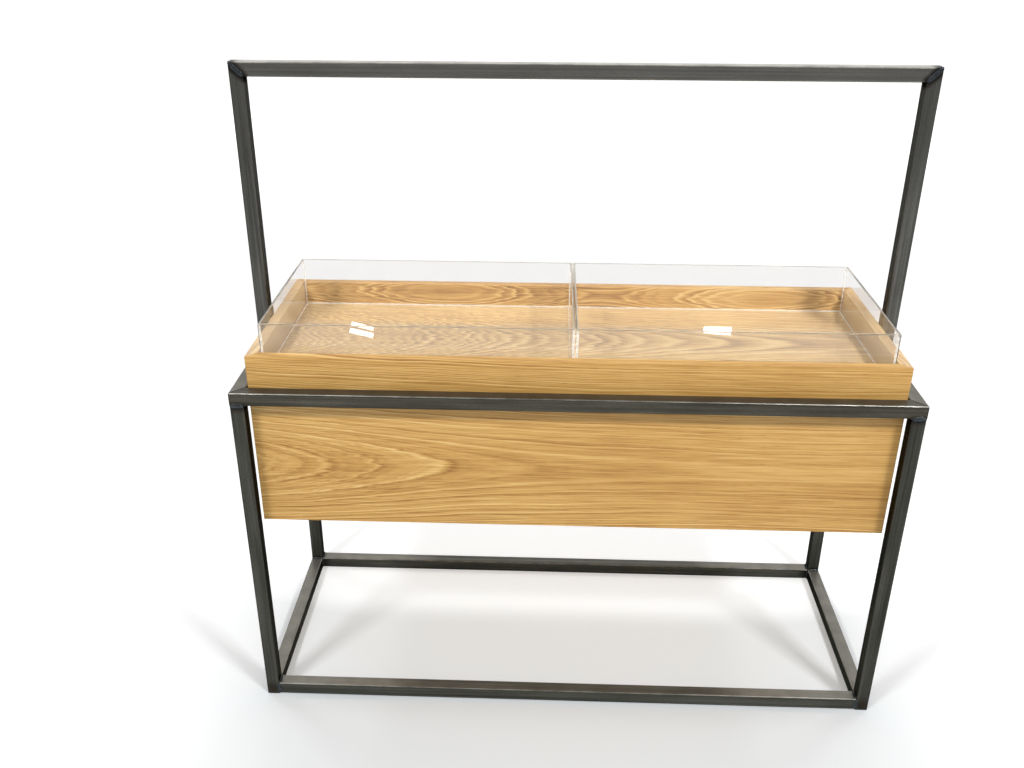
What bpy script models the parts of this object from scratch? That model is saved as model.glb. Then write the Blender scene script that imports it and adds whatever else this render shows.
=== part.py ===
"""Retail display case: a welded square-tube frame carries a mitred oak box, two clear acrylic bins
stand on the oak deck inside its rim, and a sign hoop rises over it.

Metres, +Z up. The origin is on the floor under the middle of the frame, and the front faces -Y.
"""

import math

import bmesh
import bpy
from mathutils import Matrix, Vector

# Steel frame
FRAME_LENGTH = 1.219
FRAME_DEPTH = 0.457
FRAME_HEIGHT = 1.219
RING_TOP = 0.689
TUBE_SIDE = 0.0254
TUBE_WALL = 0.002
TUBE_RADIUS = 0.0025
WELD_GAP = 0.0003

# Plastic plugs in the open lower ends of the legs
PLUG_FLANGE = 0.002
PLUG_INSERT = 0.015
PLUG_FIT = 0.0003
PLUG_EASE = 0.0006

# Oak box, which hangs in the ring with its rim above it
BOX_RISE = 0.058
BOX_HEIGHT = 0.340
BOX_WALL = 0.019
BOX_END_GAP = 0.002
BOX_FACE_GAP = 0.004
EDGE_EASE = 0.0008
BOTTOM_THICKNESS = 0.009
BOTTOM_RAISE = 0.012
GROOVE_DEPTH = 0.007
SEAT_GAP = 0.0003

# Deck inside the rim, and the cleats under it
DECK_RISE = 0.010
DECK_THICKNESS = 0.012
DECK_FIT = 0.0005
CLEAT_WIDTH = 0.018

# Screws that hang the box on the ring's end rails, and the spacers that fill the end gap
SCREW_SHANK = 0.0055
SCREW_HEAD = 0.011
SCREW_HEAD_HEIGHT = 0.0035
SCREW_REACH = 0.006
SCREW_INSET = 0.040
SCREW_FIT = 0.0003
SPACER_DIAMETER = 0.016

# Acrylic bins
BIN_HEIGHT = 0.100
SHEET_THICKNESS = 0.005
BIN_CLEARANCE = 0.004
BIN_GAP = 0.002

# How finely round forms are divided, and how close points are one point
TUBE_CORNER_STEPS = 4
TURNED_STEPS = 16
DOME_STEPS = 4
MERGE_DISTANCE = 0.00001

# Levels and spans that follow from the sizes above
LEG_FOOT = PLUG_FLANGE
RING_UNDERSIDE = RING_TOP - TUBE_SIDE
RAIL_AXIS = RING_TOP - TUBE_SIDE / 2
RIM_TOP = RING_TOP + BOX_RISE
BOX_UNDERSIDE = RIM_TOP - BOX_HEIGHT
DECK_TOP = RING_TOP + DECK_RISE
DECK_UNDERSIDE = DECK_TOP - DECK_THICKNESS
BIN_UNDERSIDE = DECK_TOP + SEAT_GAP
BOX_LENGTH = FRAME_LENGTH - 2 * (TUBE_SIDE + BOX_END_GAP)
BOX_DEPTH = FRAME_DEPTH - 2 * (TUBE_SIDE + BOX_FACE_GAP)
INNER_LENGTH = BOX_LENGTH - 2 * BOX_WALL
INNER_DEPTH = BOX_DEPTH - 2 * BOX_WALL

# The four sides of a rectangle, each with its turn about Z from the front
SIDES = (("front", 0.0), ("right", 90.0), ("rear", 180.0), ("left", 270.0))
ENDS = (("left", -1), ("right", 1))


def clear_scene():
    """Takes every object out of the open scene."""
    for obj in list(bpy.data.objects):
        bpy.data.objects.remove(obj, do_unlink=True)


def new_collection(name):
    collection = bpy.data.collections.new(name)
    bpy.context.scene.collection.children.link(collection)
    return collection


def new_material(name, color, roughness, metallic=0.0, transmission=0.0):
    material = bpy.data.materials.new(name)
    material.use_nodes = True
    shader = material.node_tree.nodes["Principled BSDF"]
    shader.inputs["Base Color"].default_value = (*color, 1.0)
    shader.inputs["Roughness"].default_value = roughness
    shader.inputs["Metallic"].default_value = metallic
    shader.inputs["Transmission Weight"].default_value = transmission
    material.diffuse_color = (*color, 1.0)
    return material


def new_empty(name, collection, location, parent=None):
    empty = bpy.data.objects.new(name, None)
    empty.empty_display_size = TUBE_SIDE
    empty.location = location
    empty.parent = parent
    collection.objects.link(empty)
    return empty


def new_object(name, mesh, collection, material, parent):
    """Links a mesh as a named part. Its location is set afterwards, from the parent's origin."""
    mesh.materials.clear()
    mesh.materials.append(material)
    obj = bpy.data.objects.new(name, mesh)
    obj.parent = parent
    collection.objects.link(obj)
    return obj


def mesh_from(bm, name):
    mesh = bpy.data.meshes.new(name)
    bm.to_mesh(mesh)
    bm.free()
    return mesh


def evaluated_mesh(obj):
    """A mesh of the object with its modifiers, whose loose caps are welded. The object is removed."""
    graph = bpy.context.evaluated_depsgraph_get()
    mesh = bpy.data.meshes.new_from_object(obj.evaluated_get(graph))
    bpy.data.objects.remove(obj, do_unlink=True)
    bm = bmesh.new()
    bm.from_mesh(mesh)
    bmesh.ops.remove_doubles(bm, verts=bm.verts, dist=MERGE_DISTANCE)
    bm.to_mesh(mesh)
    bm.free()
    return mesh


def rounded_square(side, radius, steps):
    """Corner points of a square whose corners are arcs of the radius."""
    points = []
    for corner in range(4):
        turn = math.radians(45 + 90 * corner)
        reach = (side / 2 - radius) * math.sqrt(2)
        centre = Vector((reach * math.cos(turn), reach * math.sin(turn)))
        for step in range(steps + 1):
            angle = turn + math.radians(90 * step / steps - 45)
            points.append(centre + radius * Vector((math.cos(angle), math.sin(angle))))
    return points


def extruded(outlines, height):
    """Mesh of flat closed outlines, the later ones holes, extruded to a height about z 0."""
    curve = bpy.data.curves.new("outline", "CURVE")
    curve.dimensions = "2D"
    curve.fill_mode = "BOTH"
    curve.extrude = height / 2
    for outline in outlines:
        spline = curve.splines.new("POLY")
        spline.points.add(len(outline) - 1)
        spline.use_cyclic_u = True
        for point, place in zip(spline.points, outline):
            point.co = (place[0], place[1], 0.0, 1.0)
    obj = bpy.data.objects.new("outline", curve)
    bpy.context.scene.collection.objects.link(obj)
    return evaluated_mesh(obj)


def turned(profile, closed=False):
    """Mesh of an outline in XZ, given down its outer side, turned about Z."""
    bm = bmesh.new()
    verts = [bm.verts.new((radius, 0.0, height)) for radius, height in profile]
    for upper, lower in zip(verts, verts[1:]):
        bm.edges.new((upper, lower))
    if closed:
        bm.edges.new((verts[-1], verts[0]))
    obj = bpy.data.objects.new("profile", mesh_from(bm, "profile"))
    bpy.context.scene.collection.objects.link(obj)
    screw = obj.modifiers.new("Turn", "SCREW")
    screw.axis = "Z"
    screw.steps = TURNED_STEPS
    screw.render_steps = TURNED_STEPS
    screw.use_merge_vertices = True
    screw.merge_threshold = MERGE_DISTANCE
    return evaluated_mesh(obj)


def tube_mesh(length, start_short=None, end_short=None):
    """Square tube along X about the origin. A mitred end names the side, (y, z), on which it is short."""
    outer = rounded_square(TUBE_SIDE, TUBE_RADIUS, TUBE_CORNER_STEPS)
    bore_radius = max(TUBE_RADIUS - TUBE_WALL, TUBE_RADIUS / 4)
    bore = rounded_square(TUBE_SIDE - 2 * TUBE_WALL, bore_radius, TUBE_CORNER_STEPS)
    mesh = extruded((outer, bore), length)
    mesh.transform(Matrix.Rotation(math.radians(90), 4, "Y"))
    for vertex in mesh.vertices:
        short = start_short if vertex.co.x < 0 else end_short
        if short:
            cut = TUBE_SIDE / 2 + vertex.co.y * short[0] + vertex.co.z * short[1]
            vertex.co.x -= math.copysign(cut + WELD_GAP / math.sqrt(2), vertex.co.x)
    return mesh


def slab(name, low, high, collection, material, parent, origin):
    """Square-edged board between two corners, with its own origin at its centre."""
    low = Vector(low)
    high = Vector(high)
    bm = bmesh.new()
    bmesh.ops.create_cube(bm, size=1.0, matrix=Matrix.Diagonal((*(high - low), 1.0)))
    obj = new_object(name, mesh_from(bm, name), collection, material, parent)
    obj.location = (low + high) / 2 - Vector(origin)
    return obj


def cut_with(obj, cutter):
    modifier = obj.modifiers.new("Cut " + cutter.name, "BOOLEAN")
    modifier.operation = "DIFFERENCE"
    modifier.solver = "EXACT"
    modifier.object = cutter


def new_cutter(name, mesh, collection, location):
    cutter = bpy.data.objects.new(name, mesh)
    cutter.location = location
    cutter.hide_render = True
    cutter.display_type = "WIRE"
    collection.objects.link(cutter)
    return cutter


def span_and_reach(side, length, depth):
    """How long a rectangle's side is, and how far apart that side and the opposite one lie."""
    return (length, depth) if side in ("front", "rear") else (depth, length)


def build_ring(parts, steel, parent):
    """Four rails, mitred at the corners, that lie round the box. Returns them by side."""
    rails = {}
    for side, turn in SIDES:
        span, reach = span_and_reach(side, FRAME_LENGTH, FRAME_DEPTH)
        rail = new_object(f"ring_rail_{side}", tube_mesh(span, (1, 0), (1, 0)), parts, steel, parent)
        spin = Matrix.Rotation(math.radians(turn), 4, "Z")
        rail.location = spin @ Vector((0, (TUBE_SIDE - reach) / 2, RAIL_AXIS))
        rail.rotation_euler.z = math.radians(turn)
        rails[side] = rail
    return rails


def build_legs(parts, steel, parent):
    """Four legs from the floor plugs to the underside of the ring. Returns where each stands, by name."""
    height = RING_UNDERSIDE - WELD_GAP - LEG_FOOT
    places = {}
    for face_name, face in (("front", -1), ("rear", 1)):
        for end_name, end in ENDS:
            corner = f"{face_name}_{end_name}"
            leg = new_object(f"leg_{corner}", tube_mesh(height), parts, steel, parent)
            place = Vector((end * (FRAME_LENGTH - TUBE_SIDE) / 2, face * (FRAME_DEPTH - TUBE_SIDE) / 2, 0))
            leg.location = place + Vector((0, 0, LEG_FOOT + height / 2))
            leg.rotation_euler.y = math.radians(-90)
            places[corner] = place
    return places


def build_bottom_rails(parts, steel, parent):
    """Four rails at the floor, butted between the legs."""
    for side, turn in SIDES:
        span, reach = span_and_reach(side, FRAME_LENGTH, FRAME_DEPTH)
        length = span - 2 * (TUBE_SIDE + WELD_GAP)
        rail = new_object(f"bottom_rail_{side}", tube_mesh(length), parts, steel, parent)
        spin = Matrix.Rotation(math.radians(turn), 4, "Z")
        rail.location = spin @ Vector((0, (TUBE_SIDE - reach) / 2, LEG_FOOT + TUBE_SIDE / 2))
        rail.rotation_euler.z = math.radians(turn)


def build_hoop(parts, steel, parent):
    """Two posts on the middle of the ring's end rails, and the rail mitred across their tops."""
    foot = RING_TOP + WELD_GAP
    height = FRAME_HEIGHT - foot
    for end_name, end in ENDS:
        post = new_object(f"hoop_post_{end_name}", tube_mesh(height, None, (0, end)), parts, steel, parent)
        post.location = (end * (FRAME_LENGTH - TUBE_SIDE) / 2, 0, foot + height / 2)
        post.rotation_euler.y = math.radians(-90)
    rail = new_object("hoop_top_rail", tube_mesh(FRAME_LENGTH, (0, -1), (0, -1)), parts, steel, parent)
    rail.location = (0, 0, FRAME_HEIGHT - TUBE_SIDE / 2)


def build_leg_plugs(parts, plastic, parent, leg_places):
    """A flanged plug in the lower end of each leg, which stands on the floor."""
    insert_side = TUBE_SIDE - 2 * (TUBE_WALL + PLUG_FIT)
    bm = bmesh.new()
    flange = Matrix.Diagonal((TUBE_SIDE, TUBE_SIDE, PLUG_FLANGE - PLUG_FIT, 1.0))
    flange.translation.z = (PLUG_FLANGE - PLUG_FIT) / 2
    bmesh.ops.create_cube(bm, size=1.0, matrix=flange)
    upright = [edge for edge in bm.edges if abs(edge.verts[0].co.z - edge.verts[1].co.z) > MERGE_DISTANCE]
    bmesh.ops.bevel(
        bm, geom=upright, offset=TUBE_RADIUS, affect="EDGES",
        segments=TUBE_CORNER_STEPS, profile=0.5, material=-1,
    )
    top = max(bm.faces, key=lambda face: face.calc_center_median().z)
    under = min(bm.faces, key=lambda face: face.calc_center_median().z)
    bmesh.ops.bevel(
        bm, geom=list(under.edges), offset=PLUG_EASE, affect="EDGES", segments=1, profile=0.5, material=-1
    )
    bmesh.ops.inset_region(bm, faces=[top], thickness=(TUBE_SIDE - insert_side) / 2)
    raised = bmesh.ops.extrude_face_region(bm, geom=[top])
    bmesh.ops.delete(bm, geom=[top], context="FACES_ONLY")
    lifted = [item for item in raised["geom"] if isinstance(item, bmesh.types.BMVert)]
    bmesh.ops.translate(bm, verts=lifted, vec=(0, 0, PLUG_INSERT))
    mesh = mesh_from(bm, "leg_plug")
    for corner, place in leg_places.items():
        plug = new_object(f"leg_plug_{corner}", mesh, parts, plastic, parent)
        plug.location = place


def wall_mesh(length):
    """Upright board whose ends are mitred to the inside. Its outer face is y 0, and the inside is +Y."""
    outer = length / 2 - SEAT_GAP / math.sqrt(2)
    inner = outer - BOX_WALL
    return extruded((((-outer, 0), (outer, 0), (inner, BOX_WALL), (-inner, BOX_WALL)),), BOX_HEIGHT)


def build_box(parts, cutters, oak, parent):
    """Four mitred walls and the bottom that is let into a groove round them. Returns the walls."""
    middle = Vector((0, 0, BOX_UNDERSIDE + BOTTOM_RAISE + BOTTOM_THICKNESS / 2))
    groove_size = Vector((INNER_LENGTH, INNER_DEPTH, BOTTOM_THICKNESS)) + 2 * Vector(
        (GROOVE_DEPTH, GROOVE_DEPTH, SEAT_GAP)
    )
    bm = bmesh.new()
    bmesh.ops.create_cube(bm, size=1.0, matrix=Matrix.Diagonal((*groove_size, 1.0)))
    groove = new_cutter("groove_cutter", mesh_from(bm, "groove_cutter"), cutters, middle)
    walls = {}
    for side, turn in SIDES:
        span, reach = span_and_reach(side, BOX_LENGTH, BOX_DEPTH)
        wall = new_object(f"box_{side}_panel", wall_mesh(span), parts, oak, parent)
        spin = Matrix.Rotation(math.radians(turn), 4, "Z")
        wall.location = spin @ Vector((0, -reach / 2, BOX_HEIGHT / 2))
        wall.rotation_euler.z = math.radians(turn)
        ease = wall.modifiers.new("Eased edges", "BEVEL")
        ease.width = EDGE_EASE
        ease.segments = 2
        ease.limit_method = "ANGLE"
        cut_with(wall, groove)
        walls[side] = wall
    half = (groove_size - 2 * Vector((SEAT_GAP, SEAT_GAP, SEAT_GAP))) / 2
    slab("box_bottom_panel", middle - half, middle + half, parts, oak, parent, parent.location)
    return walls


def build_deck(parts, oak, parent):
    """Deck board that lies on four cleats along the walls. Returns the cleats by side."""
    cleats = {}
    top = DECK_UNDERSIDE - SEAT_GAP
    for side, across in (("front", -1), ("rear", 1)):
        wall = across * (INNER_DEPTH / 2 - SEAT_GAP)
        edges = sorted((wall, wall - across * CLEAT_WIDTH))
        end = INNER_LENGTH / 2 - SEAT_GAP
        cleats[side] = slab(
            f"deck_cleat_{side}",
            (-end, edges[0], RING_UNDERSIDE),
            (end, edges[1], top),
            parts, oak, parent, parent.location,
        )
    for side, along in ENDS:
        wall = along * (INNER_LENGTH / 2 - SEAT_GAP)
        edges = sorted((wall, wall - along * CLEAT_WIDTH))
        end = end_cleat_half()
        cleats[side] = slab(
            f"deck_cleat_{side}",
            (edges[0], -end, RING_UNDERSIDE),
            (edges[1], end, top),
            parts, oak, parent, parent.location,
        )
    reach = Vector((INNER_LENGTH / 2 - DECK_FIT, INNER_DEPTH / 2 - DECK_FIT, 0))
    slab(
        "deck_panel",
        Vector((0, 0, DECK_UNDERSIDE)) - reach,
        Vector((0, 0, DECK_TOP)) + reach,
        parts, oak, parent, parent.location,
    )
    return cleats


def end_cleat_half():
    """Half the length of the cleats at the ends, which fit between the long ones."""
    return INNER_DEPTH / 2 - CLEAT_WIDTH - 2 * SEAT_GAP


def build_fixings(parts, cutters, zinc, plastic, parent, drilled):
    """Screws from inside the box, through cleat, wall and spacer, into the ring's end rails.

    drilled gives, for each end, the three pieces that the screws of that end pass through.
    """
    seat = INNER_LENGTH / 2 - SEAT_GAP - CLEAT_WIDTH
    tip = FRAME_LENGTH / 2 - TUBE_SIDE + TUBE_WALL + SCREW_REACH
    length = tip - seat
    shank = SCREW_SHANK / 2
    hole = shank + SCREW_FIT
    dome = [
        (SCREW_HEAD / 2 * math.sin(turn), SEAT_GAP + SCREW_HEAD_HEIGHT * math.cos(turn))
        for turn in (math.radians(90 * step / DOME_STEPS) for step in range(DOME_STEPS + 1))
    ]
    screw = turned(dome + [(shank, SEAT_GAP), (shank, shank - length), (0.0, -length)])
    spacer_seat = BOX_LENGTH / 2 + BOX_END_GAP - SEAT_GAP
    thickness = BOX_END_GAP - 2 * SEAT_GAP
    outer = SPACER_DIAMETER / 2
    spacer = turned([(hole, thickness), (outer, thickness), (outer, 0.0), (hole, 0.0)], closed=True)
    inset = end_cleat_half() - SCREW_INSET
    for end_name, end in ENDS:
        # Local -Z, the way that a screw points, turns to face the end rail.
        aim = math.radians(-90 * end)
        bm = bmesh.new()
        for place_name, across in (("front", -inset), ("middle", 0.0), ("rear", inset)):
            fixings = (
                (f"box_screw_{end_name}_{place_name}", screw, zinc, seat),
                (f"box_spacer_{end_name}_{place_name}", spacer, plastic, spacer_seat),
            )
            for name, mesh, material, along in fixings:
                fixing = new_object(name, mesh, parts, material, parent)
                fixing.location = (end * along, across, RAIL_AXIS)
                fixing.rotation_euler.y = aim
            middle = Vector((end * (seat + tip) / 2, across, RAIL_AXIS))
            bmesh.ops.create_cone(
                bm, cap_ends=True, segments=TURNED_STEPS, radius1=hole, radius2=hole,
                depth=length + SCREW_HEAD_HEIGHT,
                matrix=Matrix.Translation(middle) @ Matrix.Rotation(aim, 4, "Y"),
            )
        drill = new_cutter(f"drill_{end_name}", mesh_from(bm, "drill"), cutters, (0, 0, 0))
        for piece in drilled[end_name]:
            cut_with(piece, drill)


def build_bin(end_name, end, parts, acrylic):
    """One open bin of five sheets. Its empty stands on the deck under its middle, on the lift's axis."""
    length = INNER_LENGTH / 2 - BIN_CLEARANCE - BIN_GAP / 2
    depth = INNER_DEPTH - 2 * BIN_CLEARANCE
    middle = Vector((end * (BIN_GAP + length) / 2, 0, BIN_UNDERSIDE))
    body = new_empty(f"{end_name}_bin", parts, middle)
    inside_x = length / 2 - SHEET_THICKNESS
    inside_y = depth / 2 - SHEET_THICKNESS
    fit_x = inside_x - SEAT_GAP
    fit_y = inside_y - SEAT_GAP
    sheets = {
        "front": ((-length / 2, -depth / 2, 0), (length / 2, -inside_y, BIN_HEIGHT)),
        "rear": ((-length / 2, inside_y, 0), (length / 2, depth / 2, BIN_HEIGHT)),
        "left_end": ((-length / 2, -fit_y, 0), (-inside_x, fit_y, BIN_HEIGHT)),
        "right_end": ((inside_x, -fit_y, 0), (length / 2, fit_y, BIN_HEIGHT)),
        "floor": ((-fit_x, -fit_y, 0), (fit_x, fit_y, SHEET_THICKNESS)),
    }
    for sheet, (low, high) in sheets.items():
        slab(f"{end_name}_bin_{sheet}", low, high, parts, acrylic, body, (0, 0, 0))


def main():
    clear_scene()
    parts = new_collection("retail_display_case")
    cutters = new_collection("cutters")
    steel = new_material("Lacquered raw steel", (0.085, 0.083, 0.076), 0.38, metallic=0.9)
    oak = new_material("Oiled oak", (0.60, 0.37, 0.15), 0.5)
    acrylic = new_material("Clear acrylic", (0.93, 0.96, 0.97), 0.03, transmission=1.0)
    zinc = new_material("Zinc-plated steel", (0.55, 0.55, 0.53), 0.35, metallic=1.0)
    plastic = new_material("Black nylon", (0.02, 0.02, 0.02), 0.5)

    frame = new_empty("frame", parts, (0, 0, 0))
    rails = build_ring(parts, steel, frame)
    leg_places = build_legs(parts, steel, frame)
    build_bottom_rails(parts, steel, frame)
    build_hoop(parts, steel, frame)
    build_leg_plugs(parts, plastic, frame, leg_places)

    box = new_empty("oak_box", parts, (0, 0, BOX_UNDERSIDE), frame)
    walls = build_box(parts, cutters, oak, box)
    cleats = build_deck(parts, oak, box)
    drilled = {end: (cleats[end], walls[end], rails[end]) for end, _ in ENDS}
    build_fixings(parts, cutters, zinc, plastic, frame, drilled)

    for end_name, end in ENDS:
        build_bin(end_name, end, parts, acrylic)


main()
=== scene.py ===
"""Studio scene of a retail display case: finishes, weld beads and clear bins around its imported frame.

Metres, +Z up, and the front faces -Y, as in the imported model.
"""

import functools
import itertools
import logging
import math
from collections.abc import Iterator
from dataclasses import dataclass
from enum import Enum

import bmesh
import bpy
from mathutils import Euler, Matrix, Vector


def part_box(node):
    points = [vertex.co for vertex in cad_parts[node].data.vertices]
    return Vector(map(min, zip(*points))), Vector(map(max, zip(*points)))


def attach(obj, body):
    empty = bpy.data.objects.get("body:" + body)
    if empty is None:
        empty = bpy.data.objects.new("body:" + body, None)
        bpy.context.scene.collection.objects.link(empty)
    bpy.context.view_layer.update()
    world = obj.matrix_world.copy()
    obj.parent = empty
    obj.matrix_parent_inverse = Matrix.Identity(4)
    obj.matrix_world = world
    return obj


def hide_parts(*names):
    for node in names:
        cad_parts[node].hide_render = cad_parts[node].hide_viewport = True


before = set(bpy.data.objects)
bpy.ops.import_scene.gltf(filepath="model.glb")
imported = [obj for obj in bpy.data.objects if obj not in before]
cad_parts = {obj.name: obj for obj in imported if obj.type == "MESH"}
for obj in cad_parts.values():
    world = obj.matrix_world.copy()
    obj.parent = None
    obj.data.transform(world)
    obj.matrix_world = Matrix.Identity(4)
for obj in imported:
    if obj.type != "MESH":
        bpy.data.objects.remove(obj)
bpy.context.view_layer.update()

PHOTO_WIDTH = 1024
PHOTO_HEIGHT = 768
SENSOR_WIDTH = 36.0
NOISE_MIDDLE = 0.5
DIAGONAL = math.sqrt(0.5)
# An area lamp's radiance is a quarter of its watts to the square metre.
LAMP_WATTS = 4.0
ENDS = ("left", "right")
CORNERS = ("front_left", "front_right", "rear_left", "rear_right")
SIGNS = (-1, 1)
RIGHT = Vector((1, 0, 0))
BACK = Vector((0, 1, 0))
UP = Vector((0, 0, 1))
BLACK = (0.0, 0.0, 0.0)
WHITE = (1.0, 1.0, 1.0)
COAT_OUTPUTS = {"Color": "Color", "Roughness": "Float", "Height": "Float"}

Material = bpy.types.Material
Mesh = bmesh.types.BMesh
Node = bpy.types.Node
Piece = bpy.types.Object
Socket = bpy.types.NodeSocket
Sockets = bpy.types.bpy_prop_collection
Tree = bpy.types.NodeTree
Feed = Socket | float | tuple[float, ...]
Pair = tuple[float, float]
Triple = tuple[float, float, float]
Fade = tuple[float, float, float, float]
Palette = tuple[tuple[float, Triple], ...]

log = logging.getLogger("display_case")


class BoardLie(Enum):
    """How a board lies: the turn that brings its grain to X, its thickness to Y and its width to Z."""

    LENGTHWISE = (0.0, 0.0, 0.0)
    CROSSWISE = (0.0, 0.0, math.radians(-90))
    FLAT = (math.radians(90), 0.0, 0.0)


class TubeRun(Enum):
    """Which way a tube runs: the turn that brings its length to X."""

    ALONG = (0.0, 0.0, 0.0)
    ACROSS = (0.0, 0.0, math.radians(-90))
    UPRIGHT = (0.0, math.radians(90), 0.0)


@dataclass(frozen=True)
class Noise:
    """Soft noise about zero: its waves to the metre, its octaves of finer noise, and its full swing."""

    waves: Triple | float
    detail: float
    swing: float = 1.0


class Graph:
    """Adds and joins the nodes of one shader tree."""

    def __init__(self, tree: Tree) -> None:
        """Keeps the tree that the nodes go into."""
        self.tree = tree

    def add(self, kind: str, *values: Feed, **settings: object) -> Node:
        """Adds a node.

        Args:
            kind: Blender's name of the node's type.
            values: What its first inputs take, in their order.
            settings: Properties of the node and their values.

        Returns:
            The new node.
        """
        node = self.tree.nodes.new(kind)
        for name, value in settings.items():
            setattr(node, name, value)
        for socket, value in zip(node.inputs, values):
            self.feed(socket, value)
        return node

    def feed(self, socket: Socket, value: Feed) -> None:
        """Joins a socket to another one, or sets its own value.

        Args:
            socket: The input to fill.
            value: A socket to take the value from, or the value itself.
        """
        if isinstance(value, Socket):
            self.tree.links.new(value, socket)
        else:
            socket.default_value = value

    def fill(self, node: Node, **feeds: Feed) -> Sockets:
        """Fills a node's inputs by name.

        Args:
            node: The node.
            feeds: Its inputs, with _ for each space in a name.

        Returns:
            The node's outputs.
        """
        for name, value in feeds.items():
            self.feed(node.inputs[name.replace("_", " ")], value)
        return node.outputs

    def math(self, operation: str, *values: Feed) -> Socket:
        """Works on numbers, by Blender's name of the operation."""
        return self.add("ShaderNodeMath", *values, operation=operation).outputs[0]

    def plus(self, *values: Feed) -> Socket:
        """Adds numbers up."""
        return functools.reduce(functools.partial(self.math, "ADD"), values)

    def times(self, *values: Feed) -> Socket:
        """Multiplies numbers."""
        return functools.reduce(functools.partial(self.math, "MULTIPLY"), values)

    def minus(self, first: Feed, second: Feed) -> Socket:
        """Takes the second number from the first."""
        return self.math("SUBTRACT", first, second)

    def vector(self, operation: str, *values: Feed) -> Socket:
        """Works on vectors, by Blender's name of the operation; a length comes out as a number."""
        node = self.add("ShaderNodeVectorMath", *values, operation=operation)
        return node.outputs["Value" if operation == "LENGTH" else "Vector"]

    def split(self, place: Feed) -> tuple[Socket, ...]:
        """Takes a vector apart into its x, y and z."""
        return tuple(self.add("ShaderNodeSeparateXYZ", place).outputs)

    def combine(self, *values: Feed) -> Socket:
        """Puts a vector together from its x, y and z."""
        return self.add("ShaderNodeCombineXYZ", *values).outputs[0]

    def turn(self, place: Feed, angles: Triple) -> Socket:
        """Turns a place about the origin by Euler angles, in radians."""
        return self.fill(self.add("ShaderNodeMapping"), Vector=place, Rotation=angles)[0]

    def swing(self, noise: Noise, dimensions: str, **feeds: Feed) -> Socket:
        """Makes noise from half its swing below zero to about half above.

        Args:
            noise: What it is like.
            dimensions: Blender's name for the number of its dimensions.
            feeds: Where it is read.

        Returns:
            The noise.
        """
        node = self.add("ShaderNodeTexNoise", noise_dimensions=dimensions)
        value = self.fill(node, Scale=1.0, Detail=noise.detail, **feeds)[0]
        return self.times(self.minus(value, NOISE_MIDDLE), noise.swing)

    def noise(self, noise: Noise, place: Feed, seed: Feed = 0.0) -> Socket:
        """Makes noise in space; another seed gives another pattern."""
        return self.swing(noise, "4D", Vector=self.vector("MULTIPLY", place, noise.waves), W=seed)

    def lines(self, noise: Noise, value: Feed, seed: Feed = 0.0) -> Socket:
        """Makes uneven lines that follow equal values; another seed gives other lines."""
        return self.swing(noise, "1D", W=self.math("MULTIPLY_ADD", value, noise.waves, seed))

    def ease(self, value: Feed, start: Feed, end: Feed, low: Feed = 0.0, high: Feed = 1.0) -> Socket:
        """Goes smoothly from low, where the value is at start, to high, where it is at end."""
        node = self.add("ShaderNodeMapRange", interpolation_type="SMOOTHSTEP")
        return self.fill(node, Value=value, From_Min=start, From_Max=end, To_Min=low, To_Max=high)[0]

    def ramp(self, value: Feed, stops: Palette) -> Socket:
        """Turns a number into a colour.

        Args:
            value: The number, from 0 to 1.
            stops: Numbers and their colours, in rising order.

        Returns:
            The colour.
        """
        node = self.add("ShaderNodeValToRGB", value)
        elements = node.color_ramp.elements
        while len(elements) < len(stops):
            elements.new(1.0)
        for element, (position, colour) in zip(elements, stops):
            element.position = position
            element.color = (*colour, 1.0)
        return node.outputs[0]

    def mix(self, share: Feed, first: Feed, second: Feed, blend: str = "MIX") -> Socket:
        """Mixes two colours.

        Args:
            share: How much of the second there is.
            first: The first colour.
            second: The second colour.
            blend: Blender's name of the way of mixing.

        Returns:
            The mixed colour.
        """
        node = self.add("ShaderNodeMix", share, data_type="RGBA", blend_type=blend)
        for socket, value in zip([s for s in node.inputs if s.type == "RGBA"], (first, second)):
            self.feed(socket, value if isinstance(value, Socket) else (*value, 1.0))
        return next(s for s in node.outputs if s.type == "RGBA")

    def group(self, tree: Tree, **feeds: Feed) -> Sockets:
        """Places a node group, fills its inputs by name and gives its outputs."""
        return self.fill(self.add("ShaderNodeGroup", node_tree=tree), **feeds)

    def bump(self, height: Feed, depth: float, strength: float) -> Socket:
        """Turns a height, of which 1 stands for the depth in metres, into a bumped normal."""
        return self.fill(self.add("ShaderNodeBump"), Strength=strength, Distance=depth, Height=height)[0]

    def principled(self, **feeds: Feed) -> Socket:
        """Adds the Principled shader and fills its inputs by name."""
        return self.fill(self.add("ShaderNodeBsdfPrincipled"), **feeds)[0]

    def show(self, surface: Socket, output: str = "ShaderNodeOutputMaterial") -> None:
        """Joins a shader to the tree's output."""
        self.fill(self.add(output), Surface=surface)


class MaterialGraph(Graph):
    """The graph of a material, and the place on the piece."""

    def __init__(self, name: str) -> None:
        """Starts a material.

        Args:
            name: The material's name.
        """
        self.material = bpy.data.materials.new(name)
        self.material.use_nodes = True
        self.material.node_tree.nodes.clear()
        super().__init__(self.material.node_tree)
        self.place = self.add("ShaderNodeTexCoord").outputs["Object"]

    def complete(self, **feeds: Feed) -> Material:
        """Shows the Principled shader, its inputs filled by name, and gives the material."""
        self.show(self.principled(**feeds))
        return self.material


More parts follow.
